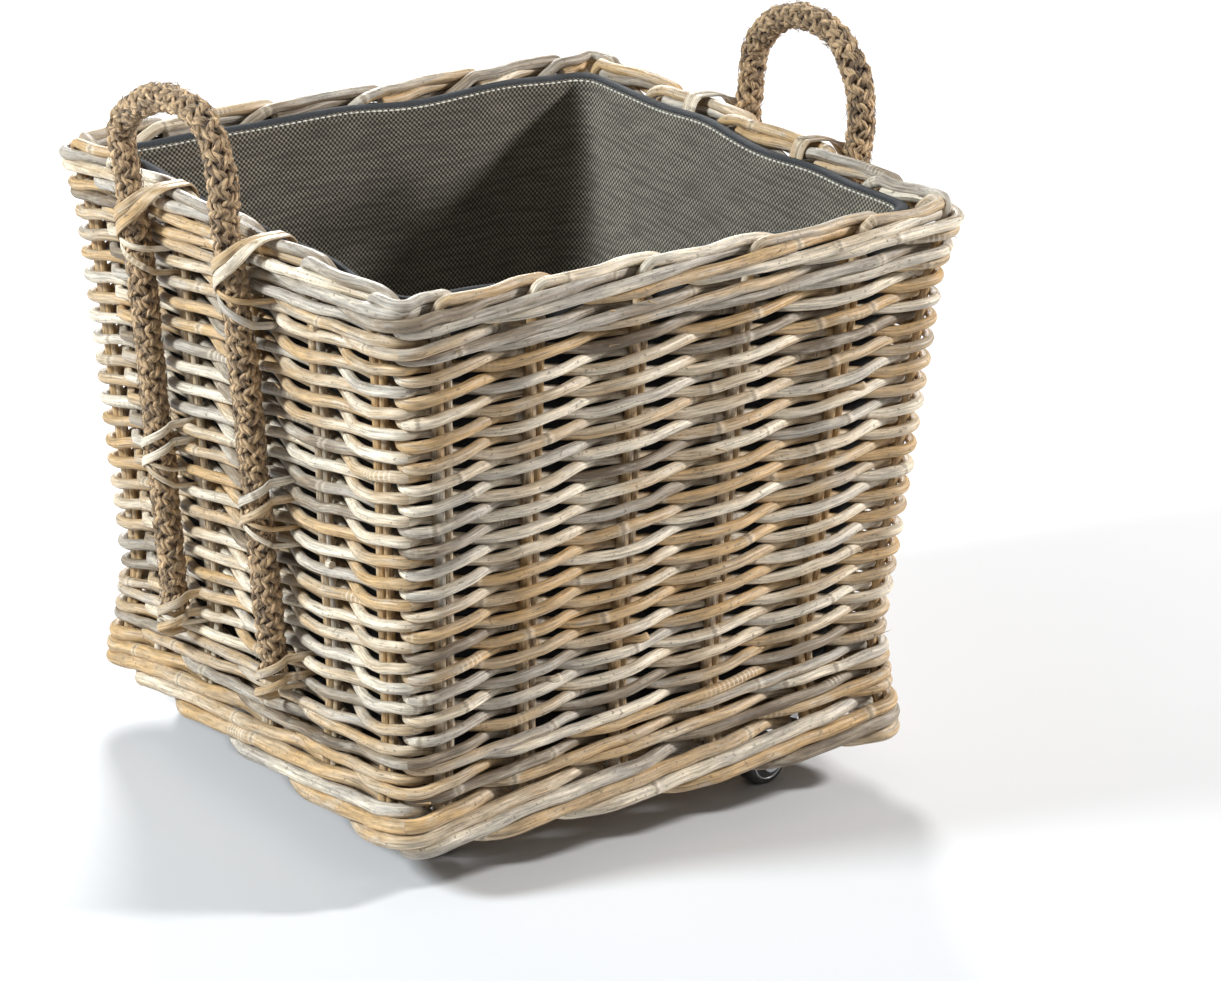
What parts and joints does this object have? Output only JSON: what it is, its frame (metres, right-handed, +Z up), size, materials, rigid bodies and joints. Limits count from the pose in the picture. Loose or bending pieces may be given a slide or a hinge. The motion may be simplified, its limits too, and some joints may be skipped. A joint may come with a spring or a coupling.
{
  "type": "log basket",
  "caption": "Square tapering woven rattan log basket with a rolled rim, cloth liner, standing rope loop handles lashed with cane, and swivel castors under its base.",
  "frame": {"origin": "on the floor under the middle of the basket", "axes": "+Z up, +X toward the right handle, -Y toward the front wall, which has no handle"},
  "size_m": [0.5532, 0.4962, 0.5534],
  "materials": {
    "rattan": "matte, natural grey-beige cane with grain along the rod",
    "cane": "satin split cane",
    "rope": "matte braided fibre",
    "cloth": "coarse matte weave",
    "board": "plain plywood",
    "zinc": "zinc-plated pressed steel",
    "wheel_plastic": "moulded plastic"
  },
  "bodies": {
    "basket": {"back_foot_border": "rattan", "back_left_castor_plate": "zinc", "back_lower_wale": "rattan", "back_right_castor_plate": "zinc", "back_rim_border": "rattan", "back_siding": "rattan", "back_stakes": "rattan", "back_upper_wale": "rattan", "base_board": "board", "castor_screws": "zinc", "front_foot_border": "rattan", "front_left_castor_plate": "zinc", "front_lower_wale": "rattan", "front_right_castor_plate": "zinc", "front_rim_border": "rattan", "front_siding": "rattan", "front_stakes": "rattan", "front_upper_wale": "rattan", "left_foot_border": "rattan", "left_lower_lashings": "cane", "left_lower_wale": "rattan", "left_middle_lashings": "cane", "left_rim_border": "rattan", "left_rim_lashings": "cane", "left_rope_legs": "rope", "left_siding": "rattan", "left_stakes": "rattan", "left_upper_wale": "rattan", "liner": "cloth", "right_foot_border": "rattan", "right_lower_lashings": "cane", "right_lower_wale": "rattan", "right_middle_lashings": "cane", "right_rim_border": "rattan", "right_rim_lashings": "cane", "right_rope_legs": "rope", "right_siding": "rattan", "right_stakes": "rattan", "right_upper_wale": "rattan"},
    "front_right_fork": {"front_right_castor_fork": "zinc", "front_right_castor_axle": "zinc"},
    "front_right_wheel": {"front_right_castor_wheel": "wheel_plastic"},
    "back_right_fork": {"back_right_castor_fork": "zinc", "back_right_castor_axle": "zinc"},
    "back_right_wheel": {"back_right_castor_wheel": "wheel_plastic"},
    "back_left_fork": {"back_left_castor_fork": "zinc", "back_left_castor_axle": "zinc"},
    "back_left_wheel": {"back_left_castor_wheel": "wheel_plastic"},
    "front_left_fork": {"front_left_castor_fork": "zinc", "front_left_castor_axle": "zinc"},
    "front_left_wheel": {"front_left_castor_wheel": "wheel_plastic"},
    "left_loop": {"left_rope_loop": "rope"},
    "right_loop": {"right_rope_loop": "rope"}
  },
  "joints": [
    {"name": "left_loop_fold", "type": "hinge", "parent": "basket", "child": "left_loop", "pos_m": [-0.26175, 0, 0.47636], "axis": [0, 1, 0], "range_deg": [-60, 60], "stiffness_Nm_per_rad": 0.6},
    {"name": "right_loop_fold", "type": "hinge", "parent": "basket", "child": "right_loop", "pos_m": [0.26175, 0, 0.47636], "axis": [0, -1, 0], "range_deg": [-60, 60], "stiffness_Nm_per_rad": 0.6},
    {"name": "front_right_swivel", "type": "hinge", "parent": "basket", "child": "front_right_fork", "pos_m": [0.146, -0.168, 0.0593], "axis": [0, 0, 1], "continuous": true},
    {"name": "front_right_roll", "type": "hinge", "parent": "front_right_fork", "child": "front_right_wheel", "pos_m": [0.12818, -0.1705, 0.02], "axis": [-0.1392, 0.9903, 0], "continuous": true},
    {"name": "back_right_swivel", "type": "hinge", "parent": "basket", "child": "back_right_fork", "pos_m": [0.146, 0.168, 0.0593], "axis": [0, 0, 1], "continuous": true},
    {"name": "back_right_roll", "type": "hinge", "parent": "back_right_fork", "child": "back_right_wheel", "pos_m": [0.12861, 0.16334, 0.02], "axis": [-0.2588, 0.9659, 0], "continuous": true},
    {"name": "back_left_swivel", "type": "hinge", "parent": "basket", "child": "back_left_fork", "pos_m": [-0.146, 0.168, 0.0593], "axis": [0, 0, 1], "continuous": true},
    {"name": "back_left_roll", "type": "hinge", "parent": "back_left_fork", "child": "back_left_wheel", "pos_m": [-0.16291, 0.17416, 0.02], "axis": [0.342, 0.9397, 0], "continuous": true},
    {"name": "front_left_swivel", "type": "hinge", "parent": "basket", "child": "front_left_fork", "pos_m": [-0.146, -0.168, 0.0593], "axis": [0, 0, 1], "continuous": true},
    {"name": "front_left_roll", "type": "hinge", "parent": "front_left_fork", "child": "front_left_wheel", "pos_m": [-0.146, -0.15, 0.02], "axis": [1, 0, 0], "continuous": true}
  ]
}
